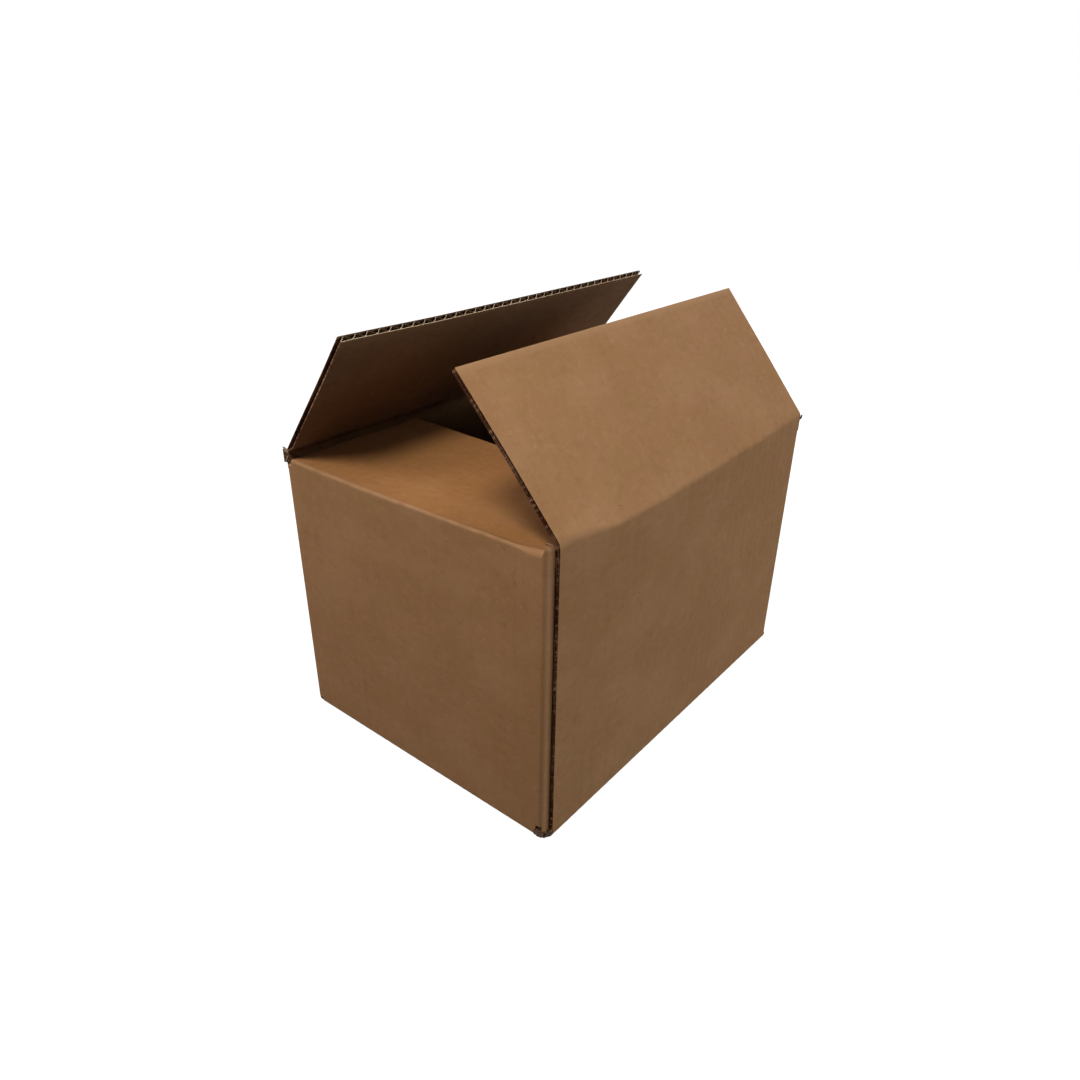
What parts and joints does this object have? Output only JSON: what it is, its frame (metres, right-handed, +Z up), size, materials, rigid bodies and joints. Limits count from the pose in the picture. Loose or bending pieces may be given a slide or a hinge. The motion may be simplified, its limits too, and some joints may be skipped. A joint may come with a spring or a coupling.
{
  "type": "slotted corrugated cardboard box",
  "caption": "Plain brown slotted corrugated box with its short top flaps folded in and its long top flaps leaning half shut on creases.",
  "frame": {"origin": "middle of the underside, where the box stands", "axes": "+X along the length, away from the glued corner; +Y along the width, from the front long wall to the rear one; +Z up"},
  "size_m": [0.272, 0.2, 0.2583],
  "materials": {
    "kraft_board": "matte"
  },
  "bodies": {
    "carton": {"carton": "kraft_board"},
    "front_flap": {"front_flap": "kraft_board"},
    "rear_flap": {"rear_flap": "kraft_board"}
  },
  "joints": [
    {"name": "front_flap_fold", "type": "hinge", "parent": "carton", "child": "front_flap", "pos_m": [0, -0.1, 0.181], "axis": [1, 0, 0], "range_deg": [-49, 211]},
    {"name": "rear_flap_fold", "type": "hinge", "parent": "carton", "child": "rear_flap", "pos_m": [0, 0.1, 0.181], "axis": [-1, 0, 0], "range_deg": [-51, 209]}
  ]
}
